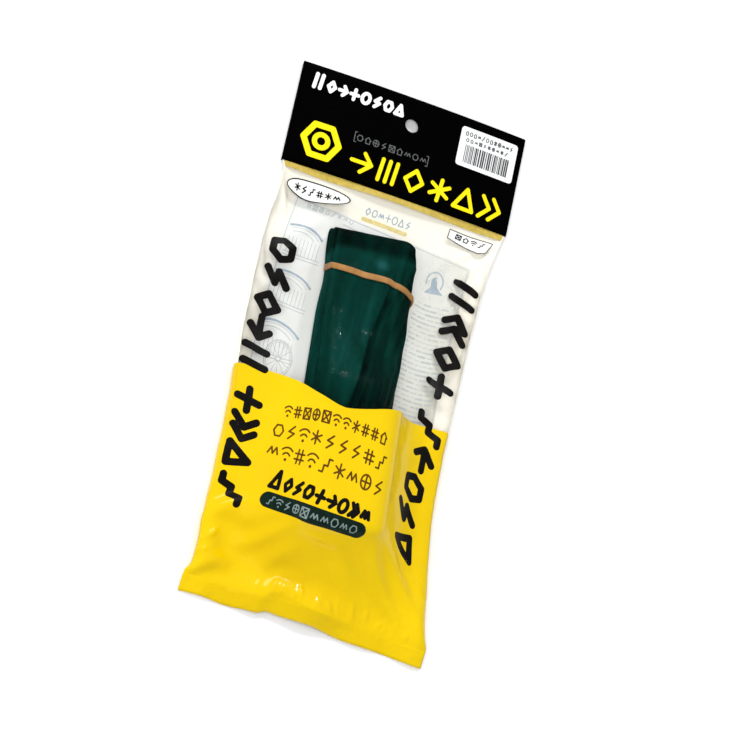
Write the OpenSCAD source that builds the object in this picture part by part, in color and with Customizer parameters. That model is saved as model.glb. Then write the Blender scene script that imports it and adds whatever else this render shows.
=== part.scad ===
// Folded bicycle inner tube with a Presta valve, packed in a header bag.
// The pack lies on its back: X is its width, Y runs up to the header, Z out of its front.

/* [Bag] */
// Width of the bag across its bottom seal
bag_w = 118; // [112:1:130]
// Length of the whole pack, header included
pack_l = 262; // [250:1:290]
// Thickness of each web of film
film_t = 0.3; // [0.2:0.05:0.4]
// Depth of the heat seal along the bottom
seal_d = 9; // [6:1:12]
// Width of the flat margin along each side
side_margin = 4; // [2:0.5:6]
// Height at which the two webs meet
rim_z = 3; // [2:0.5:5]

/* [Header card] */
// Width of the header card
header_w = 115; // [100:1:118]
// Height of the header card
header_h = 51; // [40:1:60]
// Thickness of one leaf of the card
card_t = 0.5; // [0.3:0.1:0.8]
// Radius of the hang hole
hang_r = 3.5; // [3:0.25:5]
// Drop from the card's top edge to the hang hole's centre
hang_drop = 14; // [10:1:18]
// How far the bag's mouth reaches up between the leaves
mouth_tuck = 22; // [10:1:28]

/* [Price label] */
// Width of the label
label_w = 30; // [20:1:40]
// Height of the label
label_h = 20; // [12:1:25]
// Thickness of the label
label_t = 0.15; // [0.1:0.05:0.3]
// Label's centre, right of the middle of the card
label_x = 39.5; // [-40:0.5:41]
// Label's centre, below the card's top edge
label_drop = 15; // [12:0.5:35]

/* [Tube bundle] */
// Flat width of the tube
tube_w = 41; // [34:1:48]
// Length of the folded bundle
bundle_l = 140; // [132:1:150]
// Thickness of the rubber wall
wall_t = 0.6; // [0.5:0.05:0.7]
// Gap between the two walls of the flattened tube
lumen_t = 0.3; // [0.2:0.05:0.4]
// Gap between one layer and the next
layer_gap = 0.1; // [0.08:0.02:0.2]
// Angle of the bundle to the bag
bundle_lean = 3.5; // [0:0.5:6]
// Centre of the bundle, along X
bundle_x = -3.5; // [-12:0.5:4]
// Centre of the bundle, along Y
bundle_y = -17; // [-24:0.5:-16]

/* [Rubber band] */
// Width of the band
band_w = 3; // [2:0.5:5]
// Thickness of the band
band_t = 1; // [0.8:0.1:1.2]
// Distance of the band from the bundle's upper end
band_drop = 22; // [10:1:35]

/* [Valve] */
// Length of the threaded stem
stem_l = 26; // [24:1:28]
// Radius of the stem over its thread
stem_r = 3; // [2.9:0.05:3.05]
// Radius of the valve core's thread
core_r = 2.6; // [2.5:0.05:2.65]
// How far the core stands out of the stem
core_out = 7; // [6:0.5:8]
// Distance between thread crests
thread_pitch = 1.06; // [1:0.02:1.2]
// Depth of the thread
thread_d = 0.3; // [0.2:0.05:0.35]
// Outer radius of the rim nut
rim_nut_r = 4.6; // [4.2:0.1:4.7]
// Thickness of the rim nut
rim_nut_t = 3; // [2.5:0.25:3.5]
// Outer radius of the dust cap
cap_r = 3.6; // [3.5:0.05:3.7]
// Length of the dust cap
cap_l = 17.5; // [17.5:0.5:19]

/* [Travel] */
// Travel of the rim nut along the stem
rim_nut_travel = 12; // [6:1:13]
// Travel of the tip nut down its pin
tip_nut_travel = 3; // [2:0.25:3]
// Travel of the valve pin when it is pressed
pin_travel = 2.5; // [1.5:0.25:2.5]
// Travel of the dust cap until it is off the core
cap_travel = 17; // [15:1:17]

/* [Hidden] */
$fn = 48;

// Bag and header heights
top_y = pack_l / 2;
bottom_y = -pack_l / 2;
header_y = top_y - header_h;
front_rim_z = rim_z + film_t;
leaf_gap = 0.1;
back_leaf_z = rim_z - leaf_gap - card_t;
front_leaf_z = front_rim_z + film_t + leaf_gap;
header_top_z = front_leaf_z + card_t;

// Folded tube: six pairs of layers, one closed loop laid double and folded five times
layers = 12;
layer_t = 2 * wall_t + lumen_t;
layer_pitch = layer_t + layer_gap;
bundle_z = film_t + band_t + 0.4;
fold_end = bundle_l / 2;
fold_y = fold_end - 1.5 * layer_pitch - layer_t / 2;

// Pocket for the valve, between the top two layers
pocket_r = 5;
pocket_z = bundle_z + (layers - 2) * layer_pitch + layer_t;
valve_z = pocket_z + pocket_r;
pocket_y = -fold_end + pocket_r + layer_t;
valve_root_y = pocket_y - pocket_r;
nut_zone = 19;
cap_zone_h = pocket_r + cap_r + 0.5;
cap_zone = 65;
pocket_ramp = 15;
bundle_top_z = pocket_z + 2 * pocket_r + layer_t;
fold_top_z = bundle_z + (layers - 1) * layer_pitch + layer_t;

// Places along the valve, from its root
tail_r = 1.9;
tail_in = 0.5;
body_from = 1.15;
pad_top = 2.6;
pad_half_w = 9;
nut_from = pad_top + 0.4;
core_seat = 14;
core_end = stem_l + core_out;
pin_r = 0.75;
pin_end = core_end + tip_nut_travel + pin_travel + 3.6;
tip_nut_r = 2.1;
tip_nut_t = 2.8;
tip_nut_from = core_end + tip_nut_travel + pin_travel + 0.2;
cap_from = stem_l + 0.6;
bore_r = 1.6;
run = 0.06;

module at_bundle() {
    translate([bundle_x, bundle_y, 0]) rotate([0, 0, bundle_lean]) children();
}

// Turns a section drawn in Y and Z into a solid of width w, centred on X
module across(w) {
    translate([-w / 2, 0, 0]) rotate([90, 0, 90]) linear_extrude(w) children();
}

// Puts a body of revolution drawn along +Z onto the valve's axis, from its root
module on_valve(from) {
    at_bundle() translate([0, valve_root_y + from, valve_z]) rotate([-90, 0, 0]) children();
}

module ring(outer, inner, h) {
    difference() {
        cylinder(r = outer, h = h);
        translate([0, 0, -1]) cylinder(r = inner, h = h + 2);
    }
}

module rounded_rect(w, h, r) {
    square([w - 2 * r, h], center = true);
    square([w, h - 2 * r], center = true);
    for (x = [-1, 1], y = [-1, 1])
        translate([x * (w / 2 - r), y * (h / 2 - r)]) circle(r = r);
}

// ---- Header and label ----

module header_section() {
    fold_z = (back_leaf_z + header_top_z) / 2;
    fold_r = (header_top_z - back_leaf_z) / 2;
    for (z = [back_leaf_z, front_leaf_z])
        translate([header_y, z]) square([header_h - fold_r, card_t]);
    translate([top_y - fold_r, fold_z]) intersection() {
        difference() {
            circle(r = fold_r);
            circle(r = fold_r - card_t);
        }
        translate([0, -fold_r]) square([fold_r, 2 * fold_r]);
    }
}

module header_card() {
    color("#141312") difference() {
        across(header_w) header_section();
        translate([0, top_y - hang_drop, 0]) cylinder(r = hang_r, h = 2 * header_top_z);
    }
}

module price_label() {
    color("whitesmoke") translate([label_x, top_y - label_drop, header_top_z])
        linear_extrude(label_t) rounded_rect(label_w, label_h, 1.5);
}

// ---- Bag ----

// Flat outline of a web, with the mouth that runs up between the leaves of the header
module web_outline() {
    translate([-bag_w / 2, bottom_y]) square([bag_w, pack_l - header_h]);
    translate([-header_w / 2 + 1, header_y]) square([header_w - 2, mouth_tuck]);
}

// Plate over the open part of the bag, drawn in by d on each side
module pocket_plate(d, z) {
    x0 = -bag_w / 2 + side_margin + d;
    y0 = bottom_y + seal_d + d;
    translate([x0, y0, z]) cube([-2 * x0, header_y - d - 2 - y0, 0.01]);
}

// Plate over a stretch of the bundle, from y0 to y1, standing out by d past it
module bundle_plate(y0, y1, d, z) {
    at_bundle() translate([-tube_w / 2 - d, y0 - d, z]) cube([tube_w + 2 * d, y1 - y0 + 2 * d, 0.01]);
}

// Tent that the front web makes over the bundle, grown by d
module tent(d) {
    hull() {
        pocket_plate(1 - 4 * d, front_rim_z - 0.01);
        bundle_plate(-fold_end, -fold_end + cap_zone, 1.2 + d, bundle_top_z + 0.4 + d);
        bundle_plate(-fold_end, fold_end, 1.2 + d, fold_top_z + 0.4 + d);
    }
}

module bag_front_film() {
    color("gold") difference() {
        union() {
            translate([0, 0, front_rim_z]) linear_extrude(film_t) web_outline();
            intersection() {
                tent(film_t);
                translate([-bag_w, -pack_l, front_rim_z]) cube([2 * bag_w, 2 * pack_l, 100]);
            }
        }
        tent(0);
    }
}

// Shallow tray that the back web makes under the bundle, let in by d
module tray(d) {
    hull() {
        pocket_plate(1 + 3 * d, front_rim_z + d);
        bundle_plate(-fold_end, fold_end, 1.2 - d, d);
    }
}

module bag_back_film() {
    color("ivory") difference() {
        union() {
            translate([0, 0, rim_z]) linear_extrude(film_t) web_outline();
            intersection() {
                tray(0);
                translate([-bag_w, -pack_l, 0]) cube([2 * bag_w, 2 * pack_l, front_rim_z]);
            }
        }
        tray(film_t);
    }
}

// ---- Tube and band ----

function layer_z(i) = bundle_z + layer_t / 2 + i * layer_pitch;

// Half ring of the tube's section where it turns back, between layers a and b
module u_turn(y, a, b, th, side) {
    r = (layer_z(b) - layer_z(a)) / 2;
    translate([y, (layer_z(a) + layer_z(b)) / 2]) half_ring(r, th, side);
}

module half_ring(r, th, side) {
    reach = r + th;
    intersection() {
        difference() {
            circle(r = r + th / 2);
            circle(r = r - th / 2);
        }
        translate([side > 0 ? 0 : -reach, -reach]) square([reach, 2 * reach]);
    }
}

// The top layer climbs over the valve: height of its middle line at each place along it
top_layer = [
    [pocket_y, bundle_top_z - layer_t / 2],
    [pocket_y + nut_zone, bundle_top_z - layer_t / 2],
    [pocket_y + nut_zone + 3, pocket_z + cap_zone_h + layer_t / 2],
    [pocket_y + cap_zone, pocket_z + cap_zone_h + layer_t / 2],
    [pocket_y + cap_zone + pocket_ramp, layer_z(layers - 1)],
    [fold_y, layer_z(layers - 1)]
];

// Section along the middle of the whole loop, th thick
module loop_section(th) {
    for (i = [0:layers - 2]) {
        from = i == layers - 2 ? pocket_y : -fold_y;
        translate([from, layer_z(i) - th / 2]) square([fold_y - from, th]);
    }
    polygon(concat([for (p = top_layer) [p[0], p[1] - th / 2]],
        [for (i = [len(top_layer) - 1:-1:0]) [top_layer[i][0], top_layer[i][1] + th / 2]]));
    for (a = [0:4:layers - 4]) {
        u_turn(fold_y, a, a + 3, th, 1);
        u_turn(fold_y, a + 1, a + 2, th, 1);
    }
    for (a = [2:4:layers - 6]) {
        u_turn(-fold_y, a, a + 3, th, -1);
        u_turn(-fold_y, a + 1, a + 2, th, -1);
    }
    u_turn(-fold_y, 0, 1, th, -1);
    translate([pocket_y, valve_z]) half_ring(pocket_r + layer_t / 2, th, -1);
}

module inner_tube() {
    color("#16302b") difference() {
        at_bundle() across(tube_w) loop_section(layer_t);
        at_bundle() across(tube_w - 2 * wall_t) loop_section(lumen_t);
        on_valve(-wall_t - lumen_t / 2) cylinder(r = tail_r + 0.02, h = 1.2);
    }
}

module rubber_band() {
    inner_w = tube_w + 0.2;
    inner_h = fold_top_z - bundle_z + 0.2;
    color("#b7824b") at_bundle()
        translate([0, fold_end - band_drop + band_w / 2, (bundle_z + fold_top_z) / 2])
        rotate([90, 0, 0]) linear_extrude(band_w) difference() {
            rounded_rect(inner_w + 2 * band_t, inner_h + 2 * band_t, band_t);
            square([inner_w, inner_h], center = true);
        }
}

// ---- Valve ----

// Outline of a threaded rod from z0 to z1, to be turned about the axis
function thread_points(r, z0, z1) = let (n = floor((z1 - z0) / thread_pitch)) concat([[0, z0]],
    [for (i = [0:n - 1], k = [0, 1]) [r - (1 - k) * thread_d, z0 + (i + k / 2) * thread_pitch]],
    [[r - thread_d, z0 + n * thread_pitch], [r - thread_d, z1], [0, z1]]);

module threaded_rod(r, z0, z1) {
    rotate_extrude() polygon(thread_points(r, z0, z1));
}

// Prism with a knurled rim
module knurled(r, h, teeth, depth) {
    linear_extrude(h) polygon([for (i = [0:2 * teeth - 1])
        let (a = i * 180 / teeth, q = r - (i % 2) * depth) [q * cos(a), q * sin(a)]]);
}

module valve_base_pad() {
    color("#1c1c1c") difference() {
        intersection() {
            on_valve(0) linear_extrude(pad_top) rounded_rect(2 * pad_half_w, 1.8 * pocket_r, 4);
            at_bundle() translate([-20, pocket_y, valve_z]) rotate([0, 90, 0])
                cylinder(r = pocket_r - 0.05, h = 40);
        }
        on_valve(-1) cylinder(r = tail_r + 0.02, h = 5);
        on_valve(body_from - 0.02) cylinder(r = stem_r + 0.02, h = 5);
    }
}

module valve_stem() {
    color("#c9c6be") on_valve(0) difference() {
        union() {
            translate([0, 0, -tail_in]) cylinder(r = tail_r, h = tail_in + body_from + 0.5);
            threaded_rod(stem_r, body_from, stem_l);
        }
        translate([0, 0, -tail_in - 1]) cylinder(r = 1.1, h = 8);
        translate([0, 0, 5]) cylinder(r = bore_r, h = stem_l);
        translate([0, 0, core_seat - 0.5]) cylinder(r = bore_r + 0.4, h = stem_l);
    }
}

module rim_nut() {
    color("#d4d2cb") on_valve(nut_from) difference() {
        knurled(rim_nut_r, rim_nut_t, 24, 0.25);
        translate([0, 0, -1]) cylinder(r = stem_r + run, h = rim_nut_t + 2);
    }
}

module valve_core() {
    color("#cdb878") on_valve(0) difference() {
        union() {
            translate([0, 0, core_seat]) cylinder(r = bore_r + 0.35, h = stem_l - core_seat + 0.2);
            intersection() {
                threaded_rod(core_r, stem_l + 0.1, core_end);
                translate([-core_r, -core_r + 0.25, 0]) cube([2 * core_r, 2 * core_r - 0.5, 2 * stem_l]);
            }
        }
        cylinder(r = pin_r + run, h = 2 * core_end);
    }
}

module core_gasket() {
    color("#202020") on_valve(core_seat - 0.45) ring(bore_r + 0.35, 1.45, 0.4);
}

module valve_pin() {
    color("#d0b46a") on_valve(0) {
        translate([0, 0, core_seat - 3.6]) cylinder(r = pin_r, h = pin_end - core_seat + 3.6);
        translate([0, 0, core_seat - 3.6]) cylinder(r = 1.2, h = 1);
    }
}

module pin_seal() {
    color("#242424") on_valve(core_seat - 2.55) ring(1.35, pin_r + 0.02, 2.45);
}

module tip_nut() {
    color("#d0b46a") on_valve(tip_nut_from) difference() {
        knurled(tip_nut_r, tip_nut_t, 16, 0.2);
        translate([0, 0, -1]) cylinder(r = pin_r + run, h = tip_nut_t + 2);
    }
}

module dust_cap() {
    ribs = 12;
    dome = 1.2;
    color("#26282b") on_valve(cap_from) difference() {
        union() {
            cylinder(r = cap_r - 0.25, h = cap_l - dome);
            translate([0, 0, cap_l - dome]) cylinder(r1 = cap_r - 0.25, r2 = cap_r - 1.2, h = dome);
            for (i = [0:ribs - 1]) rotate([0, 0, i * 360 / ribs])
                translate([cap_r - 0.4, 0, 0.6]) cylinder(r = 0.4, h = cap_l - dome - 1.2);
        }
        translate([0, 0, -1]) cylinder(r = core_r + 0.1, h = cap_l - 0.2);
    }
}

header_card();
price_label();
bag_front_film();
bag_back_film();
inner_tube();
rubber_band();
valve_base_pad();
valve_stem();
rim_nut();
valve_core();
core_gasket();
valve_pin();
pin_seal();
tip_nut();
dust_cap();
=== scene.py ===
"""Looks of a folded bicycle inner tube, packed in a header bag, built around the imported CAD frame."""
import math

import bpy
import numpy as np
from mathutils import Matrix, Vector


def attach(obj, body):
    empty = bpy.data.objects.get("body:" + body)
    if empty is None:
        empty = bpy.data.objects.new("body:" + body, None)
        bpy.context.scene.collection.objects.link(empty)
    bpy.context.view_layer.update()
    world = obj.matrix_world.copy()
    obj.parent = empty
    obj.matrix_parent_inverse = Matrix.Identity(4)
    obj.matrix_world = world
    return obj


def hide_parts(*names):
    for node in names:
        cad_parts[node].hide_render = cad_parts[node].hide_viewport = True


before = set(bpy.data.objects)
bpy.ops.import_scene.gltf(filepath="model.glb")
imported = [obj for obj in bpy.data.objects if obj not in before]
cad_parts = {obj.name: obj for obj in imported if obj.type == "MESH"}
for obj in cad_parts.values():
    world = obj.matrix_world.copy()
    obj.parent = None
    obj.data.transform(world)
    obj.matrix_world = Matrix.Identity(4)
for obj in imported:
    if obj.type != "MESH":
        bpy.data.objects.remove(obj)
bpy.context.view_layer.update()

MM = 0.001

# ---------------- camera

LENS_MM = 147.9
CAMERA_TARGET = Vector((3.52, -2.47, 0.0)) * MM
CAMERA_AZIMUTH = math.radians(-41.503)
CAMERA_HEIGHT = math.radians(64.198)
CAMERA_DISTANCE = 1373.87 * MM
CAMERA_ROLL = math.radians(56.746)


def place_camera():
    flat, turn = math.cos(CAMERA_HEIGHT), CAMERA_AZIMUTH
    away = Vector((math.sin(turn) * flat, -math.cos(turn) * flat, math.sin(CAMERA_HEIGHT)))
    place = CAMERA_TARGET + away * CAMERA_DISTANCE
    ahead = -away
    level = ahead.cross(Vector((0, 0, 1))).normalized()
    rise = level.cross(ahead)
    c, s = math.cos(CAMERA_ROLL), math.sin(CAMERA_ROLL)
    right = level * c + rise * s
    up = rise * c - level * s
    data = bpy.data.cameras.new("camera")
    data.lens = LENS_MM
    data.sensor_width = 36
    data.clip_start = 0.05
    camera = bpy.data.objects.new("camera", data)
    axes = Matrix((right, up, away)).transposed().to_4x4()
    camera.matrix_world = Matrix.Translation(place) @ axes
    bpy.context.scene.collection.objects.link(camera)
    bpy.context.scene.camera = camera


place_camera()

# ---------------- lights


def area_light(name, place, size, power, tint=(1, 1, 1), gloss=True):
    """A rectangular light aimed at the middle of the pack."""
    data = bpy.data.lights.new(name, "AREA")
    data.shape = "RECTANGLE"
    data.size, data.size_y = size
    data.energy = power
    data.color = tint
    lamp = bpy.data.objects.new(name, data)
    lamp.location = place
    lamp.visible_glossy = gloss
    lamp.rotation_euler = (-Vector(place)).to_track_quat("-Z", "Y").to_euler()
    bpy.context.scene.collection.objects.link(lamp)


WORLD_STRENGTH = 0.40


def set_lights():
    """Plain pale studio light. Lamps with gloss off show no reflection of themselves."""
    world = bpy.data.worlds.new("studio")
    world.use_nodes = True
    background = world.node_tree.nodes["Background"]
    background.inputs["Color"].default_value = (0.97, 0.985, 1.0, 1)
    background.inputs["Strength"].default_value = WORLD_STRENGTH
    bpy.context.scene.world = world
    area_light("key", (-0.35, 1.0, 0.95), (0.5, 0.4), 5.0, (1.0, 0.985, 0.96))
    area_light("side", (-1.0, 0.1, 0.75), (0.4, 0.4), 2.2, gloss=False)
    area_light("fill", (-0.40, -0.45, 1.25), (0.8, 0.8), 10.6, gloss=False)
    area_light("spark", (0.22, 0.9, 1.0), (0.12, 0.12), 3.4)
    bpy.context.scene.view_settings.view_transform = "Standard"


set_lights()

# ---------------- mesh helpers


def smooth(t):
    """Eases from 0 to 1 as t runs from 0 to 1."""
    t = np.clip(t, 0, 1)
    return t * t * (3 - 2 * t)


def bell(x, centre, width):
    """A smooth bump of height 1 about a centre."""
    return np.exp(-(((x - centre) / width) ** 2))


def on_line(x, y, a, b):
    """Nearest place on the line from a to b, from 0 to 1, and the distance to it."""
    dx, dy = b[0] - a[0], b[1] - a[1]
    t = np.clip(((x - a[0]) * dx + (y - a[1]) * dy) / max(dx * dx + dy * dy, 1e-9), 0, 1)
    return t, np.hypot(x - a[0] - t * dx, y - a[1] - t * dy)


def add_mesh(name, points, faces, materials, soft=True, indices=None):
    """Makes an object from points in millimetres."""
    data = bpy.data.meshes.new(name)
    data.from_pydata((np.asarray(points, float) * MM).tolist(), [], faces)
    for m in materials:
        data.materials.append(m)
    if indices is not None:
        data.polygons.foreach_set("material_index", indices)
    data.polygons.foreach_set("use_smooth", [soft] * len(data.polygons))
    data.update()
    piece = bpy.data.objects.new(name, data)
    bpy.context.scene.collection.objects.link(piece)
    return piece


def thicken(piece, thickness):
    """Turns an open sheet into a thin closed solid, thickness in millimetres."""
    solid = piece.modifiers.new("thickness", "SOLIDIFY")
    solid.thickness = thickness * MM
    solid.offset = -1.0
    solid.use_even_offset = False


def grid_faces(rows, cols, wrap=False, closed=False):
    """Quads of a grid whose points run along each row. Wrap joins each row's ends, closed joins the rows'."""
    faces = []
    for i in range(rows if closed else rows - 1):
        for j in range(cols if wrap else cols - 1):
            k, m = (j + 1) % cols, (i + 1) % rows
            faces.append((i * cols + j, i * cols + k, m * cols + k, m * cols + j))
    return faces


# ---------------- layout, in millimetres

BAG_W = 118.0
BOTTOM_Y = -131.0
HEADER_Y = 80.0
HEADER_W = 115.0
MOUTH_Y = 102.0
FILM_V = MOUTH_Y - BOTTOM_Y
FILM_T = 0.06
TOP_Y = 131.0
BUNDLE_X, BUNDLE_Y = -3.5, -17.0
LEAN = math.radians(3.5)
SEAL = 8.5
TUBE_TOP = 20.8
FOLD_END = 70.0
VALVE_RISE = 9.9
BAND_Y = 48.6


def to_bundle(x, y):
    dx, dy = x - BUNDLE_X, y - BUNDLE_Y
    return dx * math.cos(LEAN) + dy * math.sin(LEAN), dy * math.cos(LEAN) - dx * math.sin(LEAN)


def from_bundle(x, y):
    c, s = math.cos(LEAN), math.sin(LEAN)
    return BUNDLE_X + x * c - y * s, BUNDLE_Y + x * s + y * c


def valve_swell(y):
    """How far the layers have risen over the valve at a place along the bundle, from 0 to 1."""
    return smooth((26 - y) / 34)


def header_droop(x):
    """How far the header sags below its middle."""
    return 1.9 * np.abs(x / (HEADER_W / 2)) ** 2.2


# ---------------- materials


class Shader:
    """A Principled material with a short way to add nodes."""

    def __init__(self, name, **values):
        self.material = bpy.data.materials.new(name)
        self.material.use_nodes = True
        self.tree = self.material.node_tree
        self.surface = self.tree.nodes["Principled BSDF"]
        for socket, value in values.items():
            self.surface.inputs[socket.replace("_", " ")].default_value = value
        self.place = self.add("TexCoord").outputs["Object"]

    def link(self, source, target):
        self.tree.links.new(source, target)

    def add(self, kind, inputs=(), **settings):
        """Adds a node. Inputs are pairs of a socket and its value or source."""
        node = self.tree.nodes.new("ShaderNode" + kind)
        for key, value in settings.items():
            setattr(node, key, value)
        for socket, value in inputs:
            if isinstance(value, bpy.types.NodeSocket):
                self.link(value, node.inputs[socket])
            else:
                node.inputs[socket].default_value = value
        return node

    def noise(self, scale, detail=3.0, roughness=0.5, stretch=(1, 1, 1), distortion=0.0):
        mapping = self.add("Mapping", (("Scale", stretch), ("Vector", self.place)))
        sockets = ("Vector", "Scale", "Detail", "Roughness", "Distortion")
        values = (mapping.outputs["Vector"], scale, detail, roughness, distortion)
        return self.add("TexNoise", zip(sockets, values)).outputs["Fac"]

    def band(self, factor, low, high, a, b):
        """Value that runs from a to b as factor runs from low to high."""
        sockets = ("Value", "From Min", "From Max", "To Min", "To Max")
        return self.add("MapRange", zip(sockets, (factor, low, high, a, b))).outputs["Result"]

    def along(self, axis):
        """Position along one axis of the scene, in metres."""
        return self.add("SeparateXYZ", [("Vector", self.place)]).outputs[axis]

    def math(self, kind, a, b=0.0):
        return self.add("Math", enumerate((a, b)), operation=kind).outputs["Value"]

    def away(self, x, y, centre, radii):
        """Distance from a centre, in radii."""
        parts = (self.math("DIVIDE", self.math("ADD", p, -c), r) for p, c, r in zip((x, y), centre, radii))
        squares = [self.math("MULTIPLY", p, p) for p in parts]
        return self.math("SQRT", self.math("ADD", *squares))

    def colour(self, factor, *stops):
        """Sets the base colour from a ramp. Stops are pairs of a place and a colour."""
        node = self.add("ValToRGB", [("Fac", factor)])
        elements = node.color_ramp.elements
        while len(elements) < len(stops):
            elements.new(0.5)
        for element, (place, colour) in zip(elements, stops):
            element.position = place
            element.color = (*colour, 1)
        self.link(node.outputs["Color"], self.surface.inputs["Base Color"])

    def rough(self, factor, low, high):
        self.link(self.band(factor, 0.3, 0.7, low, high), self.surface.inputs["Roughness"])

    def bump(self, *heights):
        """Adds height fields, each a pair of source and depth in metres."""
        last = None
        for source, depth in heights:
            node = self.add("Bump", (("Distance", depth), ("Strength", 1.0), ("Height", source)))
            if last:
                self.link(last, node.inputs["Normal"])
            last = node.outputs["Normal"]
        self.link(last, self.surface.inputs["Normal"])


def plain(name, cloud, stops, grain, rough, relief=(), **values):
    """A clouded colour, an uneven gloss and a fine relief. Cloud and grain are the settings of noises."""
    m = Shader(name, **values)
    m.colour(m.noise(*cloud), *stops)
    m.rough(m.noise(*grain), *rough)
    if relief:
        m.bump(*((m.noise(*noise), depth) for noise, depth in relief))
    return m.material


def ink(name, colour, rough=0.4, spread=0.12, gloss=0.3):
    """Printing ink: slightly uneven in colour and gloss."""
    stops = (0.35, [c * (1 - spread) for c in colour]), (0.65, [min(1, c * (1 + spread)) for c in colour])
    return plain(name, (420, 4, 0.6), stops, (160,), (rough - 0.06, rough + 0.08), Specular_IOR_Level=gloss)


def metal(name, low, high, rough):
    stops = (0.3, low), (0.7, high)
    relief = [((1800, 3), 0.00001)]
    return plain(name, (450, 4, 0.6), stops, (1100, 3, 0.5), (rough, rough + 0.14), relief, Metallic=1.0)


def dark_polymer(name, low, high, rough, grain, depth):
    stops = (0.3, low), (0.7, high)
    relief = [((grain, 4), depth)]
    return plain(name, (350, 4, 0.6), stops, (700, 3), (rough, rough + 0.15), relief, Specular_IOR_Level=0.45)


def panel_ink():
    """White backing of the line drawings with faint clouds, greyer and yellower towards the right as painted
    shade.
    """
    m = Shader("panel_ink", Specular_IOR_Level=0.2)
    cloud = m.math("MULTIPLY", m.noise(34, 4, 0.6), 0.6)
    # Painted shade: the tone darkens along X, towards the right of the pack.
    tone = m.math("ADD", m.band(m.along("X"), 0.0, 0.04, 0.0, 0.34), cloud)
    m.colour(tone, (0.25, (0.86, 0.87, 0.84)), (0.45, (0.80, 0.81, 0.76)), (0.7, (0.70, 0.69, 0.60)))
    m.rough(m.noise(160), 0.36, 0.5)
    return m.material


def yellow_print():
    """Yellow print under a glossy coat, crumpled near the seal."""
    m = Shader("yellow_print", Specular_IOR_Level=0.05, Coat_Weight=0.45, Coat_Roughness=0.1, Coat_IOR=1.45)
    cloud = m.noise(22, 4, 0.55)
    m.colour(cloud, (0.3, (0.80, 0.53, 0.0)), (0.55, (0.85, 0.58, 0.0)), (0.75, (0.90, 0.62, 0.0)))
    m.rough(m.noise(90, 3), 0.4, 0.55)
    low = m.band(m.along("Y"), -0.120, -0.095, 1.0, 0.15)
    crumple = m.math("MULTIPLY", m.noise(75, 4, 0.6), low)
    m.bump((crumple, 0.0012), (m.noise(1400, 2, 0.5), 0.00001))
    return m.material


def clear_film():
    """Clear film: nearly invisible, with white along its crinkles where it is crumpled beside the bundle's
    end: in part the milky look of creased film, in part painted highlight standing for glints there.
    """
    m = Shader("clear_film", Specular_IOR_Level=1.0, Coat_Weight=1.0, Coat_Roughness=0.03, Coat_IOR=1.7)
    away = m.away(m.along("X"), m.along("Y"), (0.030, 0.047), (0.017, 0.016))
    ridge = m.band(m.math("ABSOLUTE", m.math("ADD", m.noise(85, 4, 0.6), -0.5)), 0.0, 0.035, 1.0, 0.0)
    # Painted highlight: the film turns white and less clear along its crinkle ridges, standing for its
    # glints.
    white = m.math("MULTIPLY", ridge, m.band(away, 0.5, 1.0, 1.0, 0.0))
    shade = m.math("ADD", m.math("MULTIPLY", m.noise(30, 3, 0.5), 0.1), white)
    m.colour(shade, (0.02, (0.01, 0.02, 0.015)), (0.1, (0.03, 0.05, 0.04)), (0.35, (0.93, 0.93, 0.91)))
    m.link(m.math("ADD", m.math("MULTIPLY", white, 0.22), 0.005), m.surface.inputs["Alpha"])
    m.rough(m.noise(60, 3), 0.06, 0.12)
    m.bump((m.noise(95, 4, 0.6), 0.0009))
    return m.material


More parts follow.
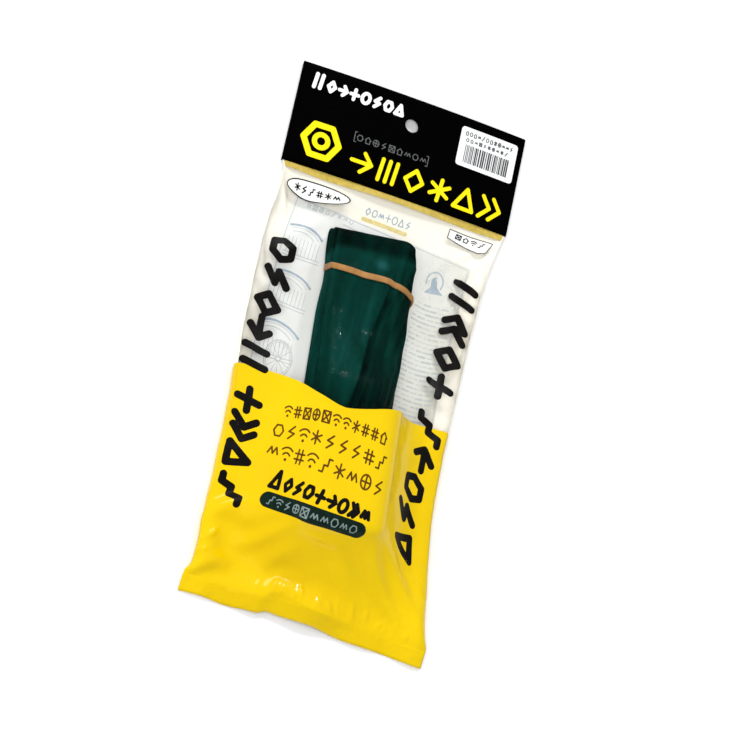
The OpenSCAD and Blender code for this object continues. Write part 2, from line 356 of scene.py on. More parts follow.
def butyl():
    """Dark green rubber with streaks along the bundle, with light and shade painted into its colour: painted
    shade on the right past the groove and along the groove, a painted lit strip on the left edge and a
    painted highlight above the band. It is also darker at the fold end and towards the low end.
    """
    m = Shader("butyl_rubber", Specular_IOR_Level=0.015)
    c, s = math.cos(LEAN), math.sin(LEAN)
    dx = m.math("ADD", m.along("X"), -BUNDLE_X * MM)
    dy = m.math("ADD", m.along("Y"), -BUNDLE_Y * MM)
    across = m.math("ADD", m.math("MULTIPLY", dx, c), m.math("MULTIPLY", dy, s))
    along = m.math("SUBTRACT", m.math("MULTIPLY", dy, c), m.math("MULTIPLY", dx, s))
    streak = m.noise(110, 5, 0.6, (1.0, 0.09, 1.0), 0.4)
    patch = m.noise(30, 4, 0.6, (1.0, 0.4, 1.0))
    powder = m.noise(260, 5, 0.65)
    tone = m.math("ADD", m.math("MULTIPLY", streak, 0.55), m.math("MULTIPLY", powder, 0.15))
    tone = m.math("ADD", tone, m.math("MULTIPLY", patch, 0.45))
    past = m.math("SUBTRACT", m.math("SUBTRACT", across, m.math("MULTIPLY", along, 0.238)), -0.0024)
    # Painted shade: darker past the groove, on the bundle's right side, which turns away from the light.
    right = m.band(past, 0.0, 0.004, 0.0, 0.13)
    # Painted shade: a dark line along the groove, fading out before the band.
    line = m.band(m.math("ABSOLUTE", past), 0.0002, 0.0022, 0.20, 0.0)
    line = m.math("MULTIPLY", line, m.band(along, 0.040, 0.046, 1.0, 0.0))
    end = m.band(m.math("SUBTRACT", along, m.math("MULTIPLY", across, 0.07)), 0.0595, 0.0630, 0.0, 0.22)
    low = m.band(along, -0.022, 0.012, 0.13, 0.0)
    for dark in (right, line, end, low):
        tone = m.math("SUBTRACT", tone, dark)
    # Painted light: a lighter strip along the bundle's left edge, which faces the light.
    painted_lit_wall = m.band(across, -0.0203, -0.0188, 0.05, 0.0)
    # Painted highlight: a pale patch on the top of the bundle just above the band.
    painted_highlight = m.band(m.away(across, along, (0.0018, 0.0555), (0.0055, 0.0036)), 0.2, 1.0, 0.24, 0.0)
    for light in (painted_lit_wall, painted_highlight):
        tone = m.math("ADD", tone, light)
    m.colour(
        tone,
        (0.30, (0.0002, 0.004, 0.003)),
        (0.44, (0.0006, 0.016, 0.011)),
        (0.56, (0.0014, 0.032, 0.024)),
        (0.70, (0.0045, 0.054, 0.045)),
        (0.90, (0.016, 0.090, 0.092)),
    )
    m.rough(powder, 0.5, 0.66)
    m.bump((m.noise(90, 4, 0.5, (1, 0.2, 1)), 0.0003))
    return m.material


YELLOW = yellow_print()
CLEAR = clear_film()
CREAM = plain(
    "cream_print", (16, 4, 0.55),
    ((0.3, (0.94, 0.90, 0.77)), (0.6, (0.97, 0.935, 0.83)), (0.8, (0.99, 0.965, 0.89))),
    (90, 3), (0.36, 0.5), [((120, 3, 0.55), 0.0002)],
    Specular_IOR_Level=0.3, Coat_Weight=0.15, Coat_Roughness=0.2,
)
CARD_BLACK = plain(
    "card_black", (900, 3, 0.6), ((0.3, (0.0002, 0.0002, 0.0002)), (0.75, (0.0012, 0.0012, 0.0012))),
    (140, 4), (0.36, 0.5), [((35, 3), 0.00022), ((700, 3), 0.00002)], Specular_IOR_Level=0.005,
)
PAPER = plain(
    "label_white", (300, 4), ((0.3, (0.86, 0.88, 0.88)), (0.7, (0.93, 0.945, 0.95))),
    (500, 3), (0.45, 0.6), [((900, 3), 0.00001)], Specular_IOR_Level=0.35,
)
TAN = plain(
    "tan_rubber", (200, 4), ((0.3, (0.30, 0.135, 0.035)), (0.7, (0.46, 0.23, 0.08))),
    (500, 3), (0.45, 0.62), [((1500, 3), 0.00003)],
    Specular_IOR_Level=0.2, Subsurface_Weight=0.08, Subsurface_Radius=(0.002, 0.001, 0.0005),
)

# ---------------- film, by cloth simulation


def bundle_push(points, grow, side):
    """Moves film points off a rounded block round the tube: side is 1 for the front web, -1 for the back."""
    x, y = to_bundle(points[..., 0], points[..., 1])
    top = TUBE_TOP + 0.8 + VALVE_RISE * valve_swell(y) + 0.9 * bell(y, BAND_Y, 4.5) + grow
    top = top + 0.6 * smooth((y - 55) / 8)
    low = 0.9
    mid, b = (top + low) / 2, (top - low) / 2
    a = np.where(x < 0, 21.9, 21.4) + grow
    end = FOLD_END + 4.6 + grow
    power = np.where(x < 0, 5.0, 3.0) if side > 0 else 6.0
    dx = np.abs(x) / a
    dz = np.maximum(side * (points[..., 2] - mid), 0.02) / b
    past = np.clip((np.abs(y) - (end - 9)) / 9, 0, None)
    f = dx**power + dz**power + past**3
    gx = power * dx ** (power - 1) * np.sign(x) / a
    gy = 3 * past**2 * np.sign(y) / 9
    gz = side * (power * dz ** (power - 1) / b + 0.004)
    step = np.where(f < 1, (1 - f) / (gx * gx + gy * gy + gz * gz + 1e-5), 0)
    lx, ly, lz = step * gx, step * gy, step * gz
    length = np.sqrt(lx * lx + ly * ly + lz * lz)
    cap = np.minimum(1, 1.5 / np.maximum(length, 1e-6))
    points[..., 0] += cap * (lx * math.cos(LEAN) - ly * math.sin(LEAN))
    points[..., 1] += cap * (lx * math.sin(LEAN) + ly * math.cos(LEAN))
    points[..., 2] += cap * lz


def seal_edge(x):
    """Bottom edge of the bag: its y and z at each x."""
    y = -130.2 + 1.1 * bell(x, -46, 9)
    y = y + 2.3 * smooth((x + 23) / 6) * smooth((16 - x) / 26)
    y = y + 0.5 * np.sin(x / 5.3) - 1.8 * smooth((x - 22) / 26)
    z = 0.9 + 2.7 * bell(x, -4, 18) + 0.5 * np.sin(x / 4.1 + 1)
    return y, np.maximum(z, 0.4)


def seal_slope(x):
    """Slope of the seal strip from the edge up to its crease."""
    return np.radians(18 + 24 * bell(x, -3, 26) + 5 * np.sin(x / 6.1))


class Film:
    """The bag as one tube of film: column 0 is its left fold, and the front web is the first half."""

    def __init__(self, rows, cols, points=None):
        self.rows, self.cols, self.half = rows, cols, cols // 2
        column = np.arange(cols)
        self.mirror = (cols - column) % cols
        on_front = column <= self.half
        across = np.where(on_front, column, cols - column) / self.half
        self.x = BAG_W * (across - 0.5)
        self.y = BOTTOM_Y + np.linspace(0, 1, rows) * FILM_V
        self.step_u = BAG_W / self.half
        self.step_v = FILM_V / (rows - 1)
        self.inner_front = (column > 0) & (column < self.half)
        self.inside = (column % self.half) > 0
        over = bell(self.x, BUNDLE_X, 30.0)
        slack = np.where(on_front, 0.014 + 0.060 * over, 0.006 + 0.004 * over)
        loose = 0.052 * bell(self.y, 6, 46) * smooth((self.y - BOTTOM_Y - SEAL) / 20)
        self.rest_u = self.step_u * (1 + loose[:, None] * (column < self.half))
        ease = smooth((HEADER_Y - 3 - self.y) / 34) * smooth((self.y - BOTTOM_Y - SEAL) / 14)
        self.slack = (ease[1:] + ease[:-1])[:, None] / 2 * slack
        self.points = self.start() if points is None else points
        self.pin()

    def start(self):
        x = np.tile(self.x, (self.rows, 1))
        y = np.tile(self.y[:, None], (1, self.cols))
        bx, by = to_bundle(x, y)
        over = smooth((36 - np.abs(bx)) / 14) * smooth((84 - np.abs(by)) / 16)
        z = np.where(self.inner_front, 9 + 24.5 * over, 1.0)
        return np.stack([x, y, z], -1)

    def pin(self):
        """Holds the heat seal at the bottom and the mouth between the leaves of the header."""
        self.free = np.ones((self.rows, self.cols, 1))
        edge_y, edge_z = seal_edge(self.x)
        slope = seal_slope(self.x)
        front = self.inner_front
        for i, y in enumerate(self.y):
            up = y - BOTTOM_Y
            if up <= SEAL + 0.1:
                self.free[i] = 0
                z = edge_z + up * np.sin(slope) + np.where(front, FILM_T, 0)
                self.points[i] = np.column_stack([self.x, edge_y + up * np.cos(slope), z])
            if y >= HEADER_Y - 0.5:
                self.free[i] = 0
                x = self.x * 57.2 / 59.0
                z = np.where(front, 3.45, 3.15) - header_droop(x)
                self.points[i] = np.column_stack([x, np.full(self.cols, y), z])
        self.held = self.points.copy()

    def finer(self):
        """The same film on a grid twice as fine."""
        p = self.points
        wide = np.zeros((self.rows, self.cols * 2, 3))
        wide[:, ::2] = p
        wide[:, 1::2] = (9 * (p + np.roll(p, -1, 1)) - np.roll(p, 1, 1) - np.roll(p, -2, 1)) / 16
        tall = np.zeros((self.rows * 2 - 1, self.cols * 2, 3))
        tall[::2] = wide
        e = np.concatenate([2 * wide[:1] - wide[1:2], wide, 2 * wide[-1:] - wide[-2:-1]])
        tall[1::2] = (9 * (e[1:-2] + e[2:-1]) - e[:-3] - e[3:]) / 16
        return Film(self.rows * 2 - 1, self.cols * 2, tall)

    def hold(self, dr, dc, rest, strength, only_push=False):
        """Brings each pair of points, dr rows and dc columns apart, to its rest distance."""
        other = np.roll(self.points, -dc, axis=1) if dc else self.points
        lower = slice(max(-dr, 0), min(self.rows - dr, self.rows))
        upper = slice(max(dr, 0), min(self.rows + dr, self.rows))
        free_a, free_b = self.free[lower], self.free[upper]
        d = other[upper] - self.points[lower]
        length = np.sqrt(np.einsum("ijk,ijk->ij", d, d)) + 1e-9
        error = 1 - rest / length
        if only_push:
            error = np.minimum(error, 0)
        c = (strength * error)[..., None] * d / np.maximum(free_a + free_b, 1)
        back = c * free_b
        self.points[lower] += c * free_a
        self.points[upper] -= np.roll(back, dc, axis=1) if dc else back

    def solve(self, steps, bend=0.25, weight=0.006, push=0.5, side_pull=0.0013, spread=0.0030):
        """Lets the film settle under its weight and the air in the bag."""
        up = smooth((self.y - BOTTOM_Y) / 60) * smooth((HEADER_Y - self.y) / 60)
        rest_v = self.step_v * (1 + self.slack)
        rest_2v = rest_v[1:] + rest_v[:-1]
        rest_4v = rest_2v[2:] + rest_2v[:-2]
        diagonal = math.hypot(self.step_u, self.step_v) * (1 + 0.5 * self.slack)
        last = self.points.copy()
        for _ in range(steps):
            p = self.points
            du = np.roll(p, -1, 1) - np.roll(p, 1, 1)
            dv = np.zeros_like(p)
            dv[1:-1] = p[2:] - p[:-2]
            n = np.cross(du, dv)
            held = float((p * n).sum()) / 12
            n /= np.sqrt((n * n).sum(-1, keepdims=True)) + 1e-9
            force = push * max(0.0, 1 - held / BAG_VOLUME) * n
            force[..., 2] -= weight
            force[..., 0] += up[:, None] * (spread * (self.x / 59) ** 3 - side_pull)
            force[..., 0] -= 0.014 * bell(self.y, 61, 9)[:, None] * smooth((self.x - 40) / 18)
            moved = p + self.free * (0.96 * (p - last) + force)
            last = p.copy()
            self.points = np.where(self.free > 0, moved, p)
            for _ in range(3):
                self.hold(0, 1, self.rest_u, 0.9)
                self.hold(1, 0, rest_v, 0.9)
                self.hold(1, 1, diagonal, 0.35)
                self.hold(-1, 1, diagonal, 0.35)
                self.hold(0, 2, 2 * self.rest_u, bend, True)
                self.hold(2, 0, rest_2v, bend, True)
            self.hold(0, 4, 4 * self.rest_u, bend / 2, True)
            self.hold(4, 0, rest_4v, bend / 2, True)
            self.keep_apart()

    def keep_apart(self):
        """Keeps the film off the bundle, the table and itself."""
        p, half, mirror = self.points, self.half, self.mirror[: self.half + 1]
        bundle_push(p[:, 1:half], 0.35, 1)
        bundle_push(p[:, half + 1 :], 0.35, -1)
        gap = p[:, : half + 1, 2] - p[:, mirror, 2]
        apart = np.maximum(0.3 - gap, 0) / 2
        apart[:, 0] = 0
        apart[:, half] = 0
        p[:, : half + 1, 2] += apart
        p[:, mirror, 2] -= apart
        p[..., 2] = np.maximum(p[..., 2], 0.25)
        self.points = np.where(self.free > 0, p, self.held)

    def relax(self, rounds):
        """Irons out small ripples, most of all under the header, where the film is pulled flat."""
        weight = 0.12 + 0.88 * smooth((self.y - HEADER_Y + 30) / 16)
        weight = (weight * (self.y < HEADER_Y))[:, None, None]
        for _ in range(rounds):
            p = self.points
            near = (np.roll(p, 1, 1) + np.roll(p, -1, 1)) / 4
            near[1:-1] += (p[2:] + p[:-2]) / 4
            self.points = p + self.free * weight * (near - p) * self.inside[:, None]
            self.keep_apart()

    def at(self, u, v, front=True):
        """Points of the film at flat places: u from the left fold, v from the bottom edge."""
        u, v = np.broadcast_arrays(np.asarray(u, float), np.asarray(v, float))
        c = u / self.step_u
        if not front:
            c = self.cols - c
        r = np.clip(v / self.step_v, 0, self.rows - 1)
        c0, r0 = np.floor(c).astype(int), np.minimum(np.floor(r).astype(int), self.rows - 2)
        total = 0
        for a, wa in enumerate(spline_weights(r - r0)):
            row = np.clip(r0 + a - 1, 0, self.rows - 1)
            for b, wb in enumerate(spline_weights(c - c0)):
                total = total + (wa * wb)[..., None] * self.points[row, (c0 + b - 1) % self.cols]
        return total

    def normal(self, u, v, front=True):
        e = 0.8
        du = self.at(np.clip(u + e, 0, BAG_W), v, front) - self.at(np.clip(u - e, 0, BAG_W), v, front)
        dv = self.at(u, v + e, front) - self.at(u, v - e, front)
        n = np.cross(du, dv)
        return n / (np.linalg.norm(n, axis=-1, keepdims=True) + 1e-9)


def spline_weights(t):
    return (
        ((2 - t) * t - 1) * t / 2,
        ((3 * t - 5) * t * t + 2) / 2,
        ((4 - 3 * t) * t + 1) * t / 2,
        (t - 1) * t * t / 2,
    )


BAG_VOLUME = 305000.0

film = Film(37, 36)
film.solve(500)
film = film.finer()
film.solve(400)
film = film.finer()
film.solve(150)
film.relax(24)

# ---------------- bag


def print_edge(u):
    """Height of the yellow print's upper edge on the flat film."""
    x = u - BAG_W / 2
    left = 13.8 * np.exp(-((np.clip(-7 - x, 0, None) / 23.5) ** 1.8))
    right = np.exp(-((np.clip(x + 7, 0, None) / 33.0) ** 1.5))
    return 109.2 - left * right


def fold_lines():
    """Short sharp folds in the front web: two ends on the flat film, width and height."""
    folds = [
        (-58.0, 24.0, -50.0, 32.0, 1.3, 1.0), (-59.0, 19.5, -52.5, 22.0, 1.2, 0.8),
        (45.0, 40.5, 58.0, 31.5, 1.3, 1.1), (49.0, 30.0, 58.5, 25.0, 1.1, 0.6),
        (-14.0, 41.5, 8.0, 38.5, 1.4, 0.7), (42.0, 46.0, 50.0, 41.0, 1.2, 0.6),
    ]
    rng = np.random.default_rng(5)
    for k in range(18):
        x = -34.0 + 4.8 * k + float(rng.uniform(-1.5, 1.5))
        long = float(rng.uniform(4, 11))
        lean = float(rng.uniform(-4, 4))
        folds.append((x, SEAL + 0.4, x + lean, SEAL + long, 0.9, float(rng.uniform(0.25, 0.6))))
    return folds


FOLDS = fold_lines()
BACK_FOLDS = [
    (58.0, 203.0, 43.0, 184.0, 1.7, 1.5), (56.0, 192.0, 44.0, 172.0, 1.5, 1.1),
    (48.0, 200.0, 38.0, 193.0, 1.4, 0.8), (-57.5, 200.0, -47.0, 183.0, 1.6, 1.1),
    (-57.0, 176.0, -50.0, 152.0, 1.4, 0.8), (57.0, 160.0, 51.0, 132.0, 1.5, 0.9),
]


def fold_height(x, v, folds):
    """How far the short folds lift a web at a flat place."""
    total = np.zeros(np.broadcast(x, v).shape)
    for x0, v0, x1, v1, width, height in folds:
        k, gap = on_line(x, v, (x0, v0), (x1, v1))
        total += height * bell(gap, 0, width) * smooth(1.15 - np.abs(2 * k - 1))
    return total


def film_web(name, front, cols, rows_low, rows_high, materials):
    """One web of the bag: its first material lies below the yellow print's edge, its second above."""
    u = np.linspace(0, BAG_W, cols)[None, :]
    edge = print_edge(u)
    low = np.linspace(0, 1, rows_low)[:, None] * edge
    high = edge + np.linspace(0, 1, rows_high)[1:, None] * (FILM_V - edge)
    v = np.concatenate([low, high])
    rows = v.shape[0]
    uu = np.broadcast_to(u, v.shape)
    points = film.at(uu, v, front)
    lift = fold_height(uu - BAG_W / 2, v, FOLDS if front else BACK_FOLDS)
    points = points + film.normal(uu, v, front) * lift[..., None]
    points = points.reshape(-1, 3)
    faces = grid_faces(rows, cols)
    if not front:
        faces = [f[::-1] for f in faces]
    split = (rows_low - 1) * (cols - 1)
    indices = [0] * split + [1] * (len(faces) - split)
    web = add_mesh(name, points, faces, materials, True, indices)
    thicken(web, FILM_T)
    return web


bag_front = film_web("bag_front", True, 133, 120, 96, [YELLOW, CLEAR])
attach(bag_front, "root")
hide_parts("bag_front_film")

bag_back = film_web("bag_back", False, 119, 84, 120, [YELLOW, CREAM])
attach(bag_back, "root")
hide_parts("bag_back_film")

# ---------------- header and label

CARD_LOW, CARD_HIGH, CARD_T = 2.4, 4.2, 0.5
HANG_R, HANG_Y = 3.5, 117.0


def make_header():
    """The card folded over the bag's mouth, with the hang hole cut through both leaves."""
    mid, reach = (CARD_LOW + CARD_HIGH) / 2, (CARD_HIGH - CARD_LOW) / 2
    fold_y = TOP_Y - reach
    lines = np.linspace(HEADER_Y, fold_y, 24)
    turn = np.radians(np.linspace(90, -90, 11))
    outer = [(y, CARD_HIGH) for y in lines[:-1]]
    outer += [(fold_y + reach * math.cos(a), mid + reach * math.sin(a)) for a in turn]
    outer += [(y, CARD_LOW) for y in lines[::-1][1:]]
    within = reach - CARD_T
    inner = [(y, CARD_LOW + CARD_T) for y in lines[:-1]]
    inner += [(fold_y + within * math.cos(a), mid - within * math.sin(a)) for a in turn]
    inner += [(y, CARD_HIGH - CARD_T) for y in lines[::-1][1:]]
    section = np.array(outer + inner)
    n = len(section)
    xs = np.linspace(-HEADER_W / 2, HEADER_W / 2, 70)
    points = np.array([(x, y, z) for x in xs for y, z in section])
    faces = [f[::-1] for f in grid_faces(len(xs), n, wrap=True)]
    half = len(outer)
    for side, flip in ((0, False), (len(xs) - 1, True)):
        for k in range(half - 1):
            ring = [side * n + i for i in (k, k + 1, n - 2 - k, n - 1 - k)]
            faces.append(tuple(ring[::-1] if flip else ring))
    card = add_mesh("header_leaves", points, faces, [CARD_BLACK])
    cutter = hole_cutter()
    cut = card.modifiers.new("hole", "BOOLEAN")
    cut.operation = "DIFFERENCE"
    cut.solver = "EXACT"
    cut.object = cutter
    graph = bpy.context.evaluated_depsgraph_get()
    done = bpy.data.meshes.new_from_object(card.evaluated_get(graph))
    card.modifiers.clear()
    card.data = done
    bpy.data.objects.remove(cutter)
    for vertex in card.data.vertices:
        x, y, z = vertex.co / MM
        vertex.co.z = (z - float(header_droop(x))) * MM
    card.data.update()
    return card


def hole_cutter():
    sides = 48
    turns = [2 * math.pi * k / sides for k in range(sides)]
    ring = [(HANG_R * math.cos(a), HANG_Y + HANG_R * math.sin(a)) for a in turns]
    points = [(x, y, z) for z in (0.5, 6.0) for x, y in ring]
    faces = [tuple(range(sides))[::-1], tuple(range(sides, 2 * sides))]
    faces += [(k, (k + 1) % sides, sides + (k + 1) % sides, sides + k) for k in range(sides)]
    return add_mesh("hole_cutter", points, faces, [], False)


header = make_header()
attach(header, "root")
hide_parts("header_card")

# ---------------- folded tube

WALL_T, LUMEN_T = 0.6, 0.3
LAYER_T = 2 * WALL_T + LUMEN_T
PITCH = LAYER_T + 0.1
BUNDLE_Z = 1.7
LAYERS = 12
FOLD_Y = FOLD_END - 1.5 * PITCH - LAYER_T / 2
POCKET_R = 5.0
POCKET_Z = BUNDLE_Z + (LAYERS - 2) * PITCH + LAYER_T
POCKET_Y = -FOLD_END + POCKET_R + LAYER_T
TUBE_HALF = 20.5
POCKET_TOP_Z = POCKET_Z + 2 * POCKET_R + LAYER_T / 2


def layer_z(i):
    return BUNDLE_Z + LAYER_T / 2 + i * PITCH


def outward(loop):
    """Directions out of a closed loop of points in a plane."""
    ahead = np.roll(loop, -1, 0) - np.roll(loop, 1, 0)
    ahead /= np.linalg.norm(ahead, axis=1, keepdims=True)
    return np.stack([-ahead[:, 1], ahead[:, 0]], 1)


def loop_path():
    """Middle line of the whole tube in y and z, once round, with the layer each point lies in."""
    path = []
    run = 2.6

    def straight(i, start, end):
        count = int(abs(end - start) / run)
        for y in np.linspace(start, end, count + 1):
            z = layer_z(i)
            if i == LAYERS - 1:
                z += (POCKET_TOP_Z - z) * valve_swell(y)
            path.append((y, z, i))

    def turn(y, low, high, side, upward):
        mid, r = (low + high) / 2, (high - low) / 2
        count = max(6, int(math.pi * r / 1.0))
        for k in range(1, count):
            a = -math.pi / 2 + math.pi * k / count
            a = a if upward else -a
            path.append((y + side * r * math.cos(a), mid + r * math.sin(a), -1))

    order = [0, 3, 4, 7, 8, 11, 10, 9, 6, 5, 2, 1]
    for k, i in enumerate(order):
        onward = k % 2 == 0
        after = order[(k + 1) % len(order)]
        start, end = (-FOLD_Y, FOLD_Y) if onward else (FOLD_Y, -FOLD_Y)
        if i >= LAYERS - 2:
            start, end = (start, POCKET_Y) if not onward else (POCKET_Y, end)
        straight(i, start, end)
        if i == LAYERS - 1:
            turn(POCKET_Y, layer_z(LAYERS - 2), POCKET_TOP_Z, -1, False)
        else:
            side = 1 if onward else -1
            turn(end, *sorted((layer_z(i), layer_z(after))), side, after > i)
    return path


def squeeze(x, y, z):
    """Where a point of the square stack ends up once the band and the bag have rounded it."""
    swell = valve_swell(y)
    top = TUBE_TOP + VALVE_RISE * swell
    t = np.clip((z - BUNDLE_Z) / (top - BUNDLE_Z), 0, 1.05)
    r = np.abs(x) / TUBE_HALF
    right = x > 0
    at_band = bell(y, 48, 9)
    flat_end = 1 - 0.85 * smooth((y - 54) / 12)
    crown = np.where(right, 5.2 + 2.2 * at_band, 1.2 + 0.7 * at_band)
    crown = crown * r ** np.where(right, 2.6, 5.0) * flat_end
    drape = 13.5 * np.clip((np.abs(x) - 5) / 15.5, 0, 1.1) ** 1.5
    drop = crown * (1 - swell) + drape * swell
    groove_x = -2.4 + 0.238 * y
    along = smooth((y + 40) / 18) * smooth((60 - y) / 8)
    groove = 2.3 * bell(x, groove_x, 1.2) * along
    ridges = 0.6 * np.sin((x - groove_x) * 1.3 + 0.7 * np.sin(y / 9)) * smooth((x - groove_x) / 4) * along
    left_fold = 0.5 * bell(x + 9 - 0.05 * y, 0, 2.4) * smooth((y + 30) / 30)
    crease = 1.1 * bell(y - 63.0 + 0.03 * x, 0, 1.6)
    wave = 0.35 * np.sin(x / 5.1 + y / 23) * np.sin(y / 17 + 1)
    depth = drop * t**1.15 + (groove - ridges + left_fold + crease + wave) * t**3
    lift = 1.2 * r**3 * (1 - t)
    pinch = 1 + np.where(right, 0.02, -0.01 - 0.05 * (1 - t)) * at_band - 0.1 * swell * t**3
    pinch = pinch - np.where(right, 0.05 + 0.09 * t, 0.015 * t) * smooth((y - 58) / 11)
    longer = (2.4 - 5.0 * t * t + 2.8 * (x / 41 + 0.5)) * smooth((y - 40) / 30)
    longer -= 3.0 * np.clip((x - 14.0) / 6.5, 0, 1) ** 2 * smooth((y - 56) / 12)
    return x * pinch, y + longer, z - depth + lift


def tube_section():
    """Half section of the flattened tube across its width: place across and thickness there."""
    a = np.linspace(-1, 1, 57)
    x = TUBE_HALF * np.sin(a * math.pi / 2 * 0.94) / math.sin(math.pi / 2 * 0.94)
    edge = TUBE_HALF - np.abs(x)
    half_t = LAYER_T / 2 * np.sqrt(np.clip(1 - np.clip(1 - edge / 0.75, 0, 1) ** 2, 0.0, 1))
    return x, half_t


def make_tube(material):
    path = loop_path()
    x, half_t = tube_section()
    count = len(path)
    rng = np.random.default_rng(11)
    shift = rng.uniform(-0.45, 0.45, LAYERS + 1)
    shift[LAYERS - 2 :] = min(shift[:-3]) - 0.25
    centre = np.array([(p[0], p[1]) for p in path])
    side = outward(centre)
    offset = np.array([shift[p[2]] if p[2] >= 0 else np.nan for p in path])
    known = np.nonzero(~np.isnan(offset))[0]
    offset = np.interp(np.arange(count), known, offset[known])
    rings = []
    for i in range(count):
        up = centre[i] + half_t[:, None] * side[i]
        down = (centre[i] - half_t[:, None] * side[i])[::-1][1:-1]
        xx = np.concatenate([x, x[::-1][1:-1]]) + offset[i]
        yz = np.concatenate([up, down])
        rings.append(np.column_stack([xx, yz]))
    points = np.concatenate(rings)
    px, py, pz = squeeze(points[:, 0], points[:, 1], points[:, 2])
    wx, wy = from_bundle(px, py)
    faces = [(a, d, c, b) for a, b, c, d in grid_faces(count, len(rings[0]), True, True)]
    return add_mesh("folded_tube", np.column_stack([wx, wy, pz]), faces, [material])


folded_tube = make_tube(butyl())
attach(folded_tube, "root")
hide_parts("inner_tube")

# ---------------- rubber band


def make_band(material):
    """A flat band round the crowned stack."""
    top_z, low_z = TUBE_TOP, BUNDLE_Z
    xs = np.linspace(-TUBE_HALF - 0.1, TUBE_HALF + 0.1, 41)
    fall = np.linspace(top_z, low_z, 15)[1:-1]
    loop = [(x, top_z + 0.1) for x in xs] + [(xs[-1], z) for z in fall]
    loop += [(x, low_z - 0.1) for x in xs[::-1]] + [(xs[0], z) for z in fall[::-1]]
    loop = np.array(loop)
    x, _, z = squeeze(loop[:, 0], np.full(len(loop), BAND_Y), loop[:, 1])
    loop = np.column_stack([x, z])
    for _ in range(3):
        loop = (np.roll(loop, 1, 0) + 2 * loop + np.roll(loop, -1, 0)) / 4
    section = []
    for k in range(16):
        a = 2 * math.pi * k / 16
        ca, sa = math.cos(a), math.sin(a)
        section.append((1.45 * math.copysign(abs(ca) ** 0.5, ca), 0.48 * math.copysign(abs(sa) ** 0.6, sa)))
    section = np.array(section)
    rows = []
    for i, (p, o) in enumerate(zip(loop, outward(loop))):
        sway = 0.5 * math.sin(4.2 * p[0] / TUBE_HALF) + 0.35 * math.sin(i * 0.31)
        for s, t in section:
            q = p + o * (t + 0.62)
            down = np.clip((top_z - q[1]) / (top_z - low_z), 0, 1) * (q[0] / TUBE_HALF) ** 2
            slide = 4.6 * down if q[0] < 0 else -5.0 * down
            wx, wy = from_bundle(q[0], BAND_Y + s + 0.4 * sway - 0.04 * q[0] + slide)
            rows.append((wx, wy, q[1]))
    return add_mesh("elastic_band", rows, grid_faces(len(loop), len(section), True, True), [material])


elastic_band = make_band(TAN)
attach(elastic_band, "root")
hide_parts("rubber_band")

# ---------------- valve, as designed, with better materials

NICKEL = metal("nickel_plate", (0.60, 0.59, 0.56), (0.74, 0.73, 0.70), 0.2)
BRASS = metal("turned_brass", (0.62, 0.44, 0.18), (0.78, 0.60, 0.30), 0.22)
PAD = dark_polymer("pad_rubber", (0.010, 0.011, 0.011), (0.024, 0.025, 0.025), 0.5, 900, 0.00003)
SEAL_RUBBER = dark_polymer("seal_rubber", (0.012, 0.012, 0.012), (0.030, 0.030, 0.030), 0.42, 1500, 0.00001)
CAP_PLASTIC = dark_polymer("cap_plastic", (0.012, 0.012, 0.014), (0.028, 0.028, 0.032), 0.32, 700, 0.00002)

VALVE_LOOKS = {
    PAD: ("valve_base_pad",),
    NICKEL: ("valve_stem", "rim_nut"),
    BRASS: ("valve_core", "valve_pin", "tip_nut"),
    SEAL_RUBBER: ("core_gasket", "pin_seal"),
    CAP_PLASTIC: ("dust_cap",),
}
for material, node in ((material, node) for material, nodes in VALVE_LOOKS.items() for node in nodes):
    mesh = bpy.data.objects[node].data
    mesh.materials.clear()
    mesh.materials.append(material)

# ---------------- printed artwork


def circle(cx, cy, r, ry=None, start=0.0, end=360.0):
    ry = r if ry is None else ry
    count = max(6, int(abs(end - start) / 12))
    angles = np.radians(np.linspace(start, end, count + 1))
    return [(cx + r * math.cos(a), cy + ry * math.sin(a)) for a in angles]


def box_outline(x0, y0, x1, y1):
    return [(x0, y0), (x1, y0), (x1, y1), (x0, y1), (x0, y0)]


# Small signs, each a list of lines in a square from -1 to 1. None is a letter.
SIGN_LINES = {
    "bolt": ".5,1 -.6,.1 .6,-.1 -.5,-1",
    "bars": "-.75,-1 -.75,1; 0,-1 0,1; .75,-1 .75,1",
    "pair": "-.75,-1 -.75,1; .75,-1 .75,1",
    "chevrons": "-1,1 -.1,0 -1,-1; .1,1 1,0 .1,-1",
    "diamond": "0,1 .9,0 0,-1 -.9,0 0,1",
    "arrow": "-1,0 1,0; .1,.9 1,0 .1,-.9",
    "plus": "-1,0 1,0; 0,-1 0,1",
    "triangle": "-1,-.9 1,-.9 0,1 -1,-.9",
    "wave": "-1,-.5 -.5,.5 0,-.5 .5,.5 1,-.5",
    "steps": "-1,-1 -.35,-1 -.35,0 .35,0 .35,1 1,1",
    "spokes": "0,-1 0,1; -.9,-.5 .9,.5; -.9,.5 .9,-.5",
    "grid": "-.4,-1 -.4,1; .4,-1 .4,1; -1,-.4 1,-.4; -1,.4 1,.4",
    "roof": "-1,.1 0,1 1,.1; -.7,.1 -.7,-1 .7,-1 .7,.1",
}
SIGNS = {
    name: [[tuple(map(float, place.split(","))) for place in line.split()] for line in lines.split(";")]
    for name, lines in SIGN_LINES.items()
}
SIGNS["ring"] = [circle(0, 0, 1.0)]
SIGNS["nut"] = [circle(0, 0, 1.0)[::5] + circle(0, 0, 1.0)[:1]]
SIGNS["crate"] = [box_outline(-1, -1, 1, 1), [(-1, -1), (1, 1)], [(-1, 1), (1, -1)]]
SIGNS["target"] = [circle(0, 0, 1.0), [(-1, 0), (1, 0)], [(0, -1), (0, 1)]]
SIGNS["arcs"] = [circle(0, -0.8, 1.7, None, 50, 130), circle(0, -0.8, 0.9, None, 40, 140)]
